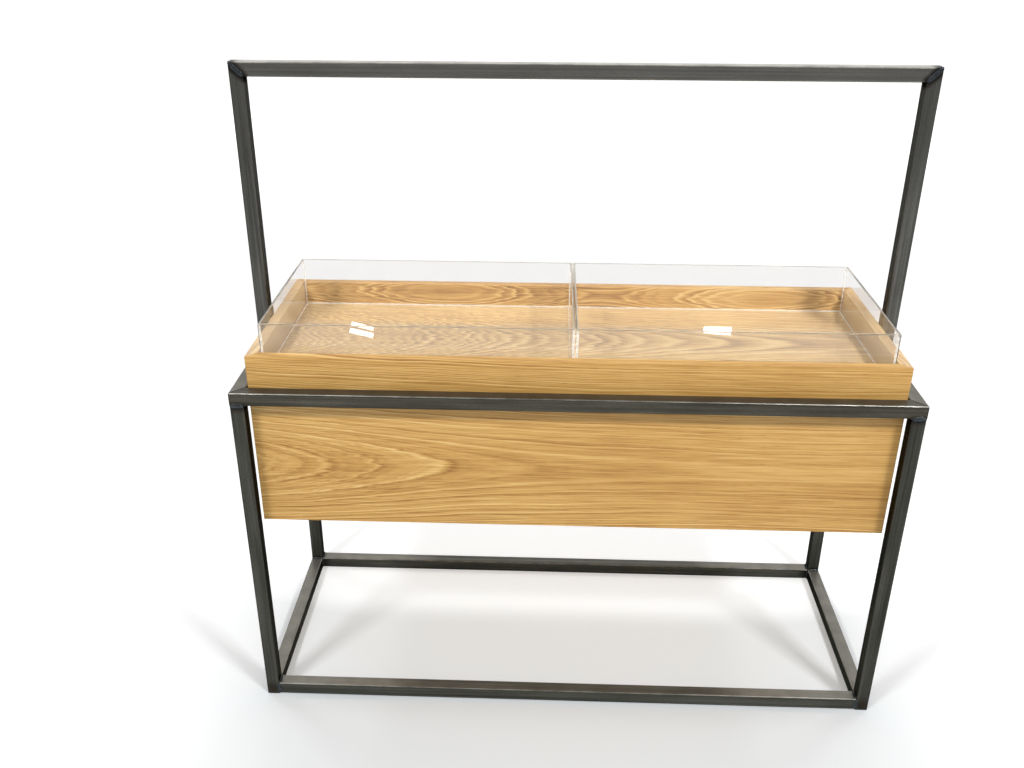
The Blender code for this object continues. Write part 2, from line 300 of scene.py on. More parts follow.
class GroupGraph(Graph):
    """The graph of a shader node group, and the sockets that it reads."""

    def __init__(self, name: str, inputs: dict[str, str], outputs: dict[str, str]) -> None:
        """Starts a group.

        Args:
            name: The group's name.
            inputs: Names of its inputs, each with its kind: Vector, Float or Color.
            outputs: The same for its outputs.
        """
        super().__init__(bpy.data.node_groups.new(name, "ShaderNodeTree"))
        for way, sockets in (("INPUT", inputs), ("OUTPUT", outputs)):
            for socket, kind in sockets.items():
                self.tree.interface.new_socket(name=socket, in_out=way, socket_type=f"NodeSocket{kind}")
        self.ins = self.add("NodeGroupInput").outputs

    def complete(self, **feeds: Feed) -> Tree:
        """Fills the group's outputs by name and gives the group."""
        self.fill(self.add("NodeGroupOutput"), **feeds)
        return self.tree


def new_object(name: str, bm: Mesh, material: Material) -> Piece:
    """Makes an object of a mesh.

    Args:
        name: The object's name.
        bm: Its mesh, in place, which is freed.
        material: Its material.

    Returns:
        The object.
    """
    mesh = bpy.data.meshes.new(name)
    bm.to_mesh(mesh)
    bm.free()
    mesh.materials.append(material)
    made = bpy.data.objects.new(name, mesh)
    bpy.context.scene.collection.objects.link(made)
    return made


def new_piece(name: str, bm: Mesh, material: Material, body: str) -> Piece:
    """Makes an object that moves with a body.

    Args:
        name: The piece's name.
        bm: Its mesh, in place, which is freed.
        material: Its material.
        body: The body that it rides on.

    Returns:
        The object.
    """
    piece = new_object(name, bm, material)
    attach(piece, body)
    log.info("%s rides on %s with %d faces", name, body, len(piece.data.polygons))
    return piece


def dress(material: Material, nodes: tuple[str, ...]) -> None:
    """Gives CAD nodes a material.

    Args:
        material: The material.
        nodes: The nodes' names.
    """
    for node in nodes:
        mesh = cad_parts[node].data
        mesh.materials.clear()
        mesh.materials.append(material)
        log.info("%s is dressed in %s", node, material.name)


def add_block(bm: Mesh, middle: Vector | Triple, size: Vector | Triple) -> list[bmesh.types.BMVert]:
    """Adds a block to a mesh, by its middle and its size along each axis, and gives its corners."""
    place = Matrix.Translation(middle) @ Matrix.Diagonal((*size, 1.0))
    return bmesh.ops.create_cube(bm, size=1.0, matrix=place)["verts"]


def height_of(face: bmesh.types.BMFace) -> float:
    """How high a face's middle lies."""
    return face.calc_center_median().z


@dataclass(frozen=True)
class OakFigure:
    """How sawn oak is figured and toned: uneven rings about a heart, frayed by the pores."""

    palette: Palette = (
        (0.0, (0.25, 0.108, 0.023)),
        (0.28, (0.43, 0.21, 0.048)),
        (0.55, (0.62, 0.345, 0.093)),
        (0.78, (0.75, 0.46, 0.148)),
        (1.0, (0.87, 0.60, 0.24)),
    )
    wander: Noise = Noise((1.3, 2.0, 3.0), 2.0, 0.045)
    ripple: Noise = Noise((6.0, 12.0, 26.0), 2.0, 0.008)
    fray: Noise = Noise((7.0, 90.0, 150.0), 4.0, 0.065)
    heart_widening: float = 0.4
    uneven: Noise = Noise(70.0, 1.0, 1.7)
    line: Noise = Noise(460.0, 3.0, 0.66)
    line_slant: Fade = (0.0, 0.7, 0.25, 1.0)
    fibre: Noise = Noise((11.0, 420.0, 420.0), 2.0, 0.64)
    cloud: Noise = Noise((2.2, 7.0, 7.0), 3.0, 0.5)
    pore: Noise = Noise((45.0, 900.0, 900.0), 2.0)
    pore_reach: Pair = (0.06, 0.2)
    pore_shares: Pair = (0.6, 0.4)
    pore_tone: float = -0.2
    dark_band: Pair = (0.1, 0.5)
    pale_band: Pair = (0.5, 0.86)
    ring_tones: Pair = (-0.2, 0.26)
    ring_relief: float = 0.5
    change: Noise = Noise(140.0, 2.0)
    ring_change: Fade = (-0.25, 0.25, 0.3, 1.15)
    calm_heart: Fade = (0.02, 0.11, 0.7, 1.0)
    middle_tone: float = 0.57
    roughness: Fade = (0.2, 0.9, 0.6, 0.44)
    cut_values: tuple[str, ...] = (
        "Heart", "Start", "Span", "Depth", "Sweep", "Swell", "Pitch", "Rings", "Contrast", "Seed",
    )

    def radius(self, graph: GroupGraph) -> tuple[Socket, Socket]:
        """Measures how far a place was from the heart of the tree.

        Args:
            graph: The group's graph.

        Returns:
            The distance in metres, and how steeply the board cuts the rings there, from 0 to 1.
        """
        ins = graph.ins
        place, seed = ins["Place"], ins["Seed"]
        along, inward, across = graph.split(place)
        along = graph.plus(graph.noise(self.fray, place, seed), along)
        way = graph.math("DIVIDE", graph.minus(along, ins["Start"]), ins["Span"])
        depth = graph.math("MULTIPLY_ADD", graph.math("TANH", way), ins["Sweep"], ins["Depth"])
        swell = graph.math("SINE", graph.times(way, math.pi))
        swell = graph.times(swell, swell, ins["Swell"])
        depth = graph.plus(depth, inward, swell)
        wander, ripple = (graph.noise(kind, place, seed) for kind in (self.wander, self.ripple))
        across = graph.plus(graph.minus(graph.plus(across, wander), ins["Heart"]), ripple)
        radius = graph.vector("LENGTH", graph.combine(depth, across, 0.0))
        return radius, graph.math("DIVIDE", graph.math("ABSOLUTE", across), radius)

    def rings(self, graph: GroupGraph, radius: Socket) -> tuple[Socket, Socket]:
        """Draws the rings.

        Args:
            graph: The group's graph.
            radius: The distance from the heart.

        Returns:
            How dark or pale the rings are, and where their dark and porous early wood lies.
        """
        square = graph.times(radius, radius)
        count = graph.math("DIVIDE", square, graph.plus(radius, self.heart_widening))
        count = graph.math("DIVIDE", count, graph.ins["Pitch"])
        uneven = graph.lines(self.uneven, radius, graph.ins["Seed"])
        phase = graph.math("FRACT", graph.plus(count, uneven))
        rise, fade = self.dark_band
        early = graph.times(graph.ease(phase, 0.0, rise), graph.ease(phase, fade, rise))
        gain, peak = self.pale_band
        late = graph.times(graph.ease(phase, gain, peak), graph.ease(phase, 1.0, peak))
        rings = graph.times(early, self.ring_tones[0])
        rings = graph.math("MULTIPLY_ADD", late, self.ring_tones[1], rings)
        return graph.times(rings, graph.ins["Rings"]), early

    @functools.cache
    def group(self) -> Tree:
        """Builds, once, the node group that every board shares.

        Returns:
            The group. Its place has the grain along X, the thickness along Y and the width along Z.
        """
        inputs = {"Place": "Vector"} | dict.fromkeys(self.cut_values, "Float")
        graph = GroupGraph("Oak figure", inputs, COAT_OUTPUTS)
        place, seed = graph.ins["Place"], graph.ins["Seed"]
        radius, slant = self.radius(graph)
        rings, early = self.rings(graph, radius)
        change = graph.ease(graph.lines(self.change, radius, seed), *self.ring_change)
        calm = graph.ease(radius, *self.calm_heart)
        slant = graph.ease(slant, *self.line_slant)
        pore = graph.ease(graph.noise(self.pore, place, seed), *self.pore_reach)
        pore = graph.times(pore, graph.math("MULTIPLY_ADD", early, *self.pore_shares))
        tone = graph.plus(
            graph.times(rings, change, calm),
            graph.times(graph.lines(self.line, radius, seed), slant),
            graph.noise(self.fibre, place, seed),
            graph.noise(self.cloud, place, seed),
            graph.times(pore, self.pore_tone),
        )
        tone = graph.math("MULTIPLY_ADD", tone, graph.ins["Contrast"], self.middle_tone)
        return graph.complete(
            Color=graph.ramp(tone, self.palette),
            Roughness=graph.ease(tone, *self.roughness),
            Height=graph.minus(graph.times(rings, self.ring_relief), pore),
        )


@dataclass(frozen=True)
class OakFinish:
    """Oiled oak on one kind of board, with its own cut from the tree.

    heart is where the tree's heart lies across the board. depth is how far the heart lies behind the
    frame's middle at start, sweep is how much deeper it gets, and span is the length over which it does.
    swell is how much deeper it gets between the eyes, which lie at start and a span apart. pitch is how far
    apart the rings are. The veil lays a second colour over the wood: painted light where that colour is
    pale, painted shade where it is dark. calm is how much the rings still show at the end of calm_reach,
    which is measured along the grain.
    """

    board: str
    nodes: tuple[str, ...]
    lie: BoardLie
    seed: float
    heart: float
    depth: float = 0.05
    start: float = -0.5
    span: float = 0.5
    sweep: float = 0.05
    pitch: float = 0.003
    contrast: float = 1.0
    painted_light_veil: float = 0.0
    painted_light_veil_colour: Triple = (0.86, 0.74, 0.55)
    swell: float = 0.0
    calm: float = 1.0
    calm_reach: Pair = (-0.3, 0.3)
    relief: Pair = (0.0003, 0.35)

    def material(self) -> Material:
        """Builds the board's material.

        Returns:
            The material.
        """
        graph = MaterialGraph(f"Oiled oak {self.board}")
        place = graph.turn(graph.place, self.lie.value)
        cut = {name: getattr(self, name.lower()) for name in OakFigure.cut_values if name != "Rings"}
        rings = graph.ease(graph.split(place)[0], *self.calm_reach, 1.0, self.calm)
        oak = graph.group(OakFigure().group(), Place=place, Rings=rings, **cut)
        # The veil is painted light where its colour is pale and painted shade where it is dark.
        return graph.complete(
            Base_Color=graph.mix(self.painted_light_veil, oak["Color"], self.painted_light_veil_colour),
            Roughness=oak["Roughness"],
            Normal=graph.bump(oak["Height"], *self.relief),
        )


@dataclass(frozen=True)
class TubeSkin:
    """How drawn steel tube looks: streaks along it, with soft clouds and fine specks."""

    palette: Palette = (
        (0.15, (0.043, 0.0435, 0.037)),
        (0.5, (0.085, 0.086, 0.073)),
        (0.85, (0.147, 0.148, 0.127)),
    )
    streak: Noise = Noise((2.5, 230.0, 230.0), 3.0)
    cloud: Noise = Noise((7.0, 45.0, 45.0), 3.0, 0.6)
    speck: Noise = Noise((180.0, 900.0, 900.0), 2.0, 0.3)
    middle_tone: float = 0.5
    roughness: Fade = (0.2, 0.8, 0.42, 0.28)
    streak_relief: float = 0.6
    speck_relief: float = 4 / 3

    @functools.cache
    def group(self) -> Tree:
        """Builds, once, the node group that every tube shares.

        Returns:
            The group. Its place has the tube's length along X.
        """
        graph = GroupGraph("Drawn tube", {"Place": "Vector"}, COAT_OUTPUTS)
        kinds = (self.streak, self.cloud, self.speck)
        streak, cloud, speck = (graph.noise(kind, graph.ins["Place"]) for kind in kinds)
        tone = graph.plus(streak, self.middle_tone, cloud, speck)
        specks = graph.times(speck, self.speck_relief)
        return graph.complete(
            Color=graph.ramp(tone, self.palette),
            Roughness=graph.ease(tone, *self.roughness),
            Height=graph.math("MULTIPLY_ADD", streak, self.streak_relief, specks),
        )


@dataclass(frozen=True)
class FrameSizes:
    """Sizes of the welded frame. end and face are how far it reaches from its middle along X and Y."""

    tube: float
    end: float
    face: float
    foot: float
    ring_underside: float
    ring_top: float
    height: float

    @classmethod
    def read(cls) -> "FrameSizes":
        """Reads the sizes from the CAD nodes.

        Returns:
            The sizes.
        """
        leg_low, leg_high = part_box("leg_front_right")
        ring_low, ring_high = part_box("ring_rail_front")
        return cls(
            tube=leg_high.x - leg_low.x,
            end=leg_high.x,
            face=-leg_low.y,
            foot=leg_low.z,
            ring_underside=ring_low.z,
            ring_top=ring_high.z,
            height=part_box("hoop_top_rail")[1].z,
        )

    @property
    def half(self) -> float:
        """Half a tube's width."""
        return self.tube / 2

    @property
    def axis_end(self) -> float:
        """How far out along X the legs' axes stand."""
        return self.end - self.half

    @property
    def axis_face(self) -> float:
        """How far out along Y the legs' axes stand."""
        return self.face - self.half


@dataclass(frozen=True)
class WeldHeat:
    """Where welding has tinted the tube: blue at the bead, brown about it, and dark along open mitres."""

    sizes: FrameSizes
    joint_reach: Triple = (0.019, 0.019, 0.0065)
    leg_drop: float = 0.002
    foot_reach: Triple = (0.0115, 0.0115, 0.0115)
    mitre_reach: Triple = (0.0062, 0.022, 0.03)
    waver: Noise = Noise((90.0, 90.0, 90.0), 2.0, 0.7)
    core_reach: Pair = (1.15, 0.8)
    halo_reach: Pair = (2.3, 0.95)
    seam: float = 0.0008

    def near(self, graph: Graph, place: Feed, centre: Triple, reach: Triple) -> Socket:
        """Measures how far a place is from a joint, with 1 at the reach along each axis."""
        offset = graph.vector("DIVIDE", graph.vector("SUBTRACT", place, centre), reach)
        return graph.vector("LENGTH", offset)

    @functools.cache
    def group(self) -> Tree:
        """Builds, once, the node group that every tube shares.

        Returns:
            The group.
        """
        outputs = dict.fromkeys(("Core", "Halo", "Seam"), "Float")
        graph = GroupGraph("Weld heat", {"Place": "Vector"}, outputs)
        size = self.sizes
        x, y, z = graph.split(graph.ins["Place"])
        out = graph.math("ABSOLUTE", x)
        deep = graph.math("ABSOLUTE", y)
        place = graph.combine(out, deep, z)
        side = graph.minus(out, size.axis_end)
        rise = graph.minus(z, size.height - size.half)
        across = graph.times(graph.minus(side, rise), DIAGONAL)
        down = graph.times(graph.plus(side, rise), DIAGONAL)
        nearest = self.near(graph, graph.combine(across, down, y), (0.0, 0.0, 0.0), self.mitre_reach)
        for centre, reach in (
            ((size.axis_end, size.axis_face, size.ring_underside - self.leg_drop), self.joint_reach),
            ((size.axis_end, 0.0, size.ring_top), self.joint_reach),
            ((size.axis_end, size.axis_face, size.foot + size.half), self.foot_reach),
        ):
            nearest = graph.math("MINIMUM", nearest, self.near(graph, place, centre, reach))
        nearest = graph.plus(nearest, graph.noise(self.waver, graph.ins["Place"]))
        mitre = graph.minus(graph.minus(out, deep), size.end - size.face)
        line = graph.ease(graph.math("ABSOLUTE", mitre), self.seam * 2, self.seam)
        above = graph.math("GREATER_THAN", z, size.ring_underside + size.half / 2)
        below = graph.math("LESS_THAN", z, size.ring_top + size.half / 2)
        return graph.complete(
            Core=graph.ease(nearest, *self.core_reach),
            Halo=graph.ease(nearest, *self.halo_reach),
            Seam=graph.times(line, above, below),
        )


@dataclass(frozen=True)
class SteelFinish:
    """Raw steel tube under satin lacquer, tinted where it was welded.

    The dust and sheen share is how much of a pale film lies on its upward faces: dust, and a painted sheen
    where the tops catch light. Within the painted shade reach of the middle only the painted shade film of
    it is left, which paints the shade that the box casts on the bottom rails. The painted highlight colour
    lies along the upward arrises. The tint scales the tube's colour: paler on the hoop as painted light,
    darker on the legs as painted shade, and browner on the ring as a painted reflection of the oak.
    """

    piece: str
    nodes: tuple[str, ...]
    run: TubeRun
    dust_and_sheen_share: float = 0.2
    tint: Triple = WHITE
    painted_shade_film: float = 1.0
    painted_shade_reach: Pair = (0.28, 0.40)
    dust_and_sheen: Triple = (0.58, 0.555, 0.50)
    dust_and_sheen_slope: Pair = (0.6, 1.0)
    patch: Noise = Noise((30.0, 30.0, 30.0), 3.0)
    dust_and_sheen_patch: Fade = (-0.4, 0.3, 0.6, 1.0)
    painted_highlight: Triple = (0.45, 0.44, 0.40)
    painted_highlight_rise: Pair = (0.25, 0.5)
    painted_highlight_fall: Pair = (0.98, 0.85)
    painted_highlight_patch: Fade = (-0.2, 0.2, 0.2, 0.75)
    halo: Triple = (0.042, 0.035, 0.027)
    core: Triple = (0.020, 0.025, 0.033)
    seam: Triple = (0.010, 0.009, 0.008)
    edge_tint: Triple = (0.3, 0.3, 0.3)
    relief: Pair = (0.0001, 0.3)

    def material(self) -> Material:
        """Builds the material of the tubes that run one way.

        Returns:
            The material.
        """
        graph = MaterialGraph(f"Lacquered steel {self.piece} {self.run.name.lower()}")
        skin = graph.group(TubeSkin().group(), Place=graph.turn(graph.place, self.run.value))
        heat = graph.group(WeldHeat(FrameSizes.read()).group(), Place=graph.place)
        level = graph.split(graph.add("ShaderNodeNewGeometry").outputs["Normal"])[2]
        patch = graph.noise(self.patch, graph.place)
        out = graph.math("ABSOLUTE", graph.split(graph.place)[0])
        # A pale film on upward faces: dust and a painted sheen, thinned in the bottom rails' middle as
        # painted shade under the box.
        film = graph.times(
            graph.ease(level, *self.dust_and_sheen_slope),
            graph.ease(patch, *self.dust_and_sheen_patch),
            self.dust_and_sheen_share,
            graph.ease(out, *self.painted_shade_reach, self.painted_shade_film, 1.0),
        )
        # Painted highlight along the upward arrises of the tubes.
        arris = graph.times(
            graph.ease(level, *self.painted_highlight_rise),
            graph.ease(level, *self.painted_highlight_fall),
            graph.ease(patch, *self.painted_highlight_patch),
        )
        # The tint is painted light and shade: it makes each group of tubes paler, darker or browner.
        colour = graph.mix(1.0, skin["Color"], self.tint, "MULTIPLY")
        for share, coat in (
            (arris, self.painted_highlight),
            (film, self.dust_and_sheen),
            (heat["Halo"], self.halo),
            (heat["Core"], self.core),
            (heat["Seam"], self.seam),
        ):
            colour = graph.mix(share, colour, coat)
        return graph.complete(
            Base_Color=colour,
            Roughness=skin["Roughness"],
            Metallic=graph.minus(1.0, film),
            Specular_Tint=(*self.edge_tint, 1.0),
            Normal=graph.bump(skin["Height"], *self.relief),
        )


@dataclass(frozen=True)
class BeadFinish:
    """A weld bead, brushed off and left with its heat colours."""

    palette: Palette = (
        (0.2, (0.030, 0.032, 0.035)),
        (0.5, (0.062, 0.072, 0.080)),
        (0.8, (0.125, 0.136, 0.142)),
    )
    mottle: Noise = Noise((220.0, 220.0, 220.0), 3.0)
    mottle_tones: Pair = (1.2, 0.5)
    roughness: Fade = (0.2, 0.8, 0.45, 0.3)
    edge_tint: Triple = (0.4, 0.4, 0.4)
    relief: Pair = (0.0002, 0.3)

    def material(self) -> Material:
        """Builds the bead's material.

        Returns:
            The material.
        """
        graph = MaterialGraph("Weld bead")
        mottle = graph.noise(self.mottle, graph.place)
        tone = graph.math("MULTIPLY_ADD", mottle, *self.mottle_tones)
        return graph.complete(
            Base_Color=graph.ramp(tone, self.palette),
            Roughness=graph.ease(tone, *self.roughness),
            Metallic=1.0,
            Specular_Tint=(*self.edge_tint, 1.0),
            Normal=graph.bump(mottle, *self.relief),
        )


@dataclass(frozen=True)
class AcrylicFinish:
    """Clear cast acrylic sheet with faint wipe marks and sawn top edges, which are less clear."""

    tint: Triple = (0.880, 0.876, 0.872)
    tint_far: Triple = (0.890, 0.886, 0.882)
    mirror_tint: Triple = (0.35, 0.35, 0.35)
    shadow: Triple = (0.93, 0.93, 0.93)
    clearness: float = 0.99
    ior: float = 1.49
    wipe: Noise = Noise((14.0, 30.0, 30.0), 3.0)
    tint_wipe: Pair = (-0.2, 0.2)
    roughness: Fade = (-0.1, 0.25, 0.0, 0.008)
    edge_band: float = 0.0008
    edge_roughness: float = 0.42
    edge_shadow: Triple = (0.4, 0.4, 0.4)

    def material(self, rim: float) -> Material:
        """Builds the material, which lets lamp light through to what stands behind it.

        Args:
            rim: The height of the sheets' sawn top edges.

        Returns:
            The material.
        """
        graph = MaterialGraph("Clear acrylic")
        wipe = graph.noise(self.wipe, graph.place)
        sawn = graph.ease(graph.split(graph.place)[2], rim - 2 * self.edge_band, rim - self.edge_band)
        dull = graph.ease(wipe, *self.roughness)
        surface = graph.principled(
            Base_Color=graph.mix(graph.ease(wipe, *self.tint_wipe), self.tint, self.tint_far),
            Roughness=graph.math("MULTIPLY_ADD", sawn, self.edge_roughness, dull),
            IOR=self.ior,
            Specular_Tint=(*self.mirror_tint, 1.0),
            Transmission_Weight=self.clearness,
        )
        clear = graph.add("ShaderNodeBsdfTransparent", graph.mix(sawn, self.shadow, self.edge_shadow))
        shaded = graph.add("ShaderNodeLightPath").outputs["Is Shadow Ray"]
        graph.show(graph.add("ShaderNodeMixShader", shaded, surface, clear.outputs[0]).outputs[0])
        return graph.material


@dataclass(frozen=True)
class CementFinish:
    """Dried solvent cement in the bins' joints: a milky film with small bubbles."""

    pale: Triple = (0.96, 0.91, 0.84)
    warm: Triple = (0.98, 0.91, 0.79)
    bubble: Noise = Noise((120.0, 120.0, 320.0), 2.0)
    warmth: Pair = (-0.2, 0.2)
    roughness: Fade = (-0.2, 0.2, 0.25, 0.5)
    alpha: Fade = (-0.15, 0.2, 0.42, 0.68)

    def material(self) -> Material:
        """Builds the material.

        Returns:
            The material.
        """
        graph = MaterialGraph("Acrylic cement")
        bubble = graph.noise(self.bubble, graph.place)
        return graph.complete(
            Base_Color=graph.mix(graph.ease(bubble, *self.warmth), self.pale, self.warm),
            Roughness=graph.ease(bubble, *self.roughness),
            Alpha=graph.ease(bubble, *self.alpha),
        )


@dataclass(frozen=True)
class GrainyFinish:
    """A small part's finish with a fine even grain, such as plated steel or moulded plastic."""

    name: str
    dark: Triple
    pale: Triple
    metallic: float
    roughness: Pair
    grain: Noise
    reach: Pair = (-0.25, 0.25)
    relief: Pair = (0.0001, 0.3)

    def material(self) -> Material:
        """Builds the material.

        Returns:
            The material.
        """
        graph = MaterialGraph(self.name)
        grain = graph.noise(self.grain, graph.place)
        share = graph.ease(grain, *self.reach)
        return graph.complete(
            Base_Color=graph.mix(share, self.dark, self.pale),
            Roughness=graph.ease(share, 0.0, 1.0, *self.roughness),
            Metallic=self.metallic,
            Normal=graph.bump(grain, *self.relief),
        )


@dataclass(frozen=True)
class WeldBead:
    """One weld bead: its middle, the way that it runs and the way that it faces.

    ripple is how far apart its scales are, and chevron how much their middles run ahead. Towards its ends
    they fade by the power fade.
    """

    middle: Vector
    run: Vector
    face: Vector
    length: float
    width: float
    height: float
    ripple: float = 0.0018
    ripple_share: float = 0.16
    chevron: float = 0.12
    fade: int = 4
    rings: int = 36
    around: int = 14

    def add_to(self, bm: Mesh) -> None:
        """Adds the bead to a mesh, sunk to half in its joint.

        Args:
            bm: The mesh.
        """
        made = bmesh.ops.create_uvsphere(bm, u_segments=self.around, v_segments=self.rings, radius=1.0)
        side = self.run.cross(self.face)
        waves = self.length / self.ripple
        for vert in made["verts"]:
            across, up, along = vert.co
            fuller = math.sqrt(1 + along * along) if abs(along) < 1 else 1.0
            wave = math.cos(math.pi * waves * (along + self.chevron * across * across))
            swell = fuller * (1 + self.ripple_share * wave * (1 - along**self.fade))
            vert.co = (
                self.middle
                + self.run * (along * self.length / 2)
                + side * (across * fuller * self.width / 2)
                + self.face * (up * swell * self.height)
            )


@dataclass
class SteelFrame:
    """The welded frame of square tube, with the beads that hold it together."""

    sizes: FrameSizes
    bead_share: float = 0.92
    flush_width: float = 0.0085
    flush_height: float = 0.00035
    hoop_height: float = 0.0009
    fillet: float = 0.0032
    # The tints are painted light on the hoop, painted shade on the legs and a painted reflection of the oak
    # on the ring.
    finishes: tuple[SteelFinish, ...] = (
        # The hoop top's heavy pale film is mostly a painted sheen.
        SteelFinish("hoop top", ("hoop_top_rail",), TubeRun.ALONG, dust_and_sheen_share=0.9, tint=(2.3, 2.25, 2.45)),
        SteelFinish(
            "hoop posts", ("hoop_post_left", "hoop_post_right"), TubeRun.UPRIGHT, tint=(1.5, 1.48, 1.6)
        ),
        SteelFinish(
            "legs", tuple(f"leg_{corner}" for corner in CORNERS), TubeRun.UPRIGHT, tint=(0.8, 0.79, 0.8)
        ),
        SteelFinish(
            "ring", ("ring_rail_front", "ring_rail_rear"), TubeRun.ALONG, tint=(0.92, 0.87, 0.82)
        ),
        # The bottom rails keep less of their pale film in the middle: painted shade under the box.
        SteelFinish(
            "bottom", ("bottom_rail_front", "bottom_rail_rear"), TubeRun.ALONG, dust_and_sheen_share=0.42, painted_shade_film=0.3
        ),
        SteelFinish(
            "ring", ("ring_rail_left", "ring_rail_right"), TubeRun.ACROSS,
            dust_and_sheen_share=0.42, tint=(0.92, 0.87, 0.82),
        ),
        SteelFinish(
            "bottom", ("bottom_rail_left", "bottom_rail_right"), TubeRun.ACROSS, dust_and_sheen_share=0.42, painted_shade_film=0.3
        ),
    )

    def bead(self, middle: Vector, run: Vector, *faces: Vector, height: float | None = None) -> WeldBead:
        """Describes a bead at a joint.

        Args:
            middle: The bead's middle.
            run: The way that it runs.
            faces: The face that it lies on, or the two faces of the corner that it fills.
            height: How far a flush bead stands up, where it isn't the usual.

        Returns:
            The bead.
        """
        corner = len(faces) > 1
        return WeldBead(
            middle=middle,
            run=run.normalized(),
            face=sum(faces, Vector()).normalized(),
            length=self.sizes.tube * self.bead_share * run.length,
            width=2 * self.fillet if corner else self.flush_width,
            height=self.fillet if corner else (height or self.flush_height),
        )

    def corners(self, depth: float, height: float) -> Iterator[tuple[Vector, Vector, Vector]]:
        """Gives the four places at a depth and height, each with the ways that lead out and away from it."""
        for end, face in itertools.product(SIGNS, SIGNS):
            yield Vector((end * self.sizes.axis_end, face * depth, height)), end * RIGHT, face * BACK

    def hoop_beads(self) -> Iterator[WeldBead]:
        """Describes the beads along the hoop's mitres, on its front and back."""
        for middle, out, away in self.corners(self.sizes.half, self.sizes.height - self.sizes.half):
            yield self.bead(middle, out + UP, away, height=self.hoop_height)

    def leg_beads(self) -> Iterator[WeldBead]:
        """Describes the welds between the legs and the ring.

        Returns:
            Their beads.
        """
        half = self.sizes.half
        for middle, out, away in self.corners(self.sizes.axis_face, self.sizes.ring_underside):
            yield self.bead(middle + away * half, RIGHT, away)
            yield self.bead(middle + out * half, BACK, out)
            yield self.bead(middle - out * half, BACK, -out, -UP)
            yield self.bead(middle - away * half, RIGHT, -away, -UP)

    def foot_beads(self) -> Iterator[WeldBead]:
        """Describes the welds between the bottom rails and the legs.

        Returns:
            Their beads.
        """
        half = self.sizes.half
        for middle, out, away in self.corners(self.sizes.axis_face, self.sizes.foot + half):
            yield self.bead(middle + (UP - out) * half, BACK, -out, UP)
            yield self.bead(middle + (away - out) * half, UP, away)
            yield self.bead(middle - (out + away) * half, UP, -out, -away)
            yield self.bead(middle + (UP - away) * half, RIGHT, -away, UP)
            yield self.bead(middle + (out - away) * half, UP, out)

    def post_beads(self) -> Iterator[WeldBead]:
        """Describes the welds between the hoop's posts and the ring, with one side of a post for each face.

        Returns:
            Their beads.
        """
        half = self.sizes.half
        for middle, out, away in self.corners(0.0, self.sizes.ring_top):
            side = out * away.y
            yield self.bead(middle + away * half, RIGHT, away, UP)
            yield self.bead(middle + side * half, BACK, side)

    def build(self) -> None:
        """Lays the beads, one piece for each kind of joint."""
        finish = BeadFinish().material()
        joints = {
            "hoop_corner_welds": self.hoop_beads(),
            "leg_top_welds": self.leg_beads(),
            "bottom_rail_welds": self.foot_beads(),
            "post_foot_welds": self.post_beads(),
        }
        for name, beads in joints.items():
            bm = bmesh.new()
            for bead in beads:
                bead.add_to(bm)
            bmesh.ops.recalc_face_normals(bm, faces=bm.faces)
            for face in bm.faces:
                face.smooth = True
            new_piece(name, bm, finish, "frame")

    def dress(self) -> None:
        """Dresses the tubes by the way that they run."""
        for finish in self.finishes:
            dress(finish.material(), finish.nodes)


@dataclass
class OakBox:
    """The oak box that hangs in the ring, with its deck and cleats, each cut from its own tree."""

    # The rear board's dark veil is painted shade; the pale veils on the end boards and the deck are painted
    # light.
    boards: tuple[OakFinish, ...] = (
        OakFinish(
            "front", ("box_front_panel",), BoardLie.LENGTHWISE, seed=3.0, heart=0.53, depth=0.2016,
            start=-0.66, span=0.36, sweep=0.088, pitch=0.0029, contrast=1.2, calm=0.4,
        ),
        OakFinish(
            "rear", ("box_rear_panel",), BoardLie.LENGTHWISE, seed=8.0, heart=0.730, depth=-0.150,
            start=-0.265, span=0.665, sweep=0.0, pitch=0.0005, contrast=1.9, swell=0.02,
            painted_light_veil=0.26, painted_light_veil_colour=(0.34, 0.23, 0.15),
        ),
        OakFinish(
            "left", ("box_left_panel",), BoardLie.CROSSWISE, seed=11.0, heart=0.60, depth=-0.5,
            start=0.1, span=0.3, painted_light_veil=0.45,
        ),
        OakFinish(
            "right", ("box_right_panel",), BoardLie.CROSSWISE, seed=17.0, heart=0.52, depth=0.64,
            start=-0.1, span=0.3, sweep=-0.06, painted_light_veil=0.35,
        ),
        OakFinish(
            "deck", ("deck_panel",), BoardLie.FLAT, seed=23.0, heart=0.0, depth=0.899,
            start=-0.62, span=0.6, sweep=0.09, pitch=0.0015, contrast=2.8,
            painted_light_veil=0.34, painted_light_veil_colour=(0.81, 0.68, 0.47),
        ),
        OakFinish("bottom", ("box_bottom_panel",), BoardLie.FLAT, seed=29.0, heart=0.05, depth=0.44),
        OakFinish(
            "long cleat", ("deck_cleat_front", "deck_cleat_rear"), BoardLie.LENGTHWISE, seed=31.0, heart=0.55
        ),
        OakFinish(
            "end cleat", ("deck_cleat_left", "deck_cleat_right"), BoardLie.CROSSWISE, seed=37.0, heart=0.55
        ),
    )

    def dress(self) -> None:
        """Dresses each board in its own cut of oak."""
        for board in self.boards:
            dress(board.material(), board.nodes)


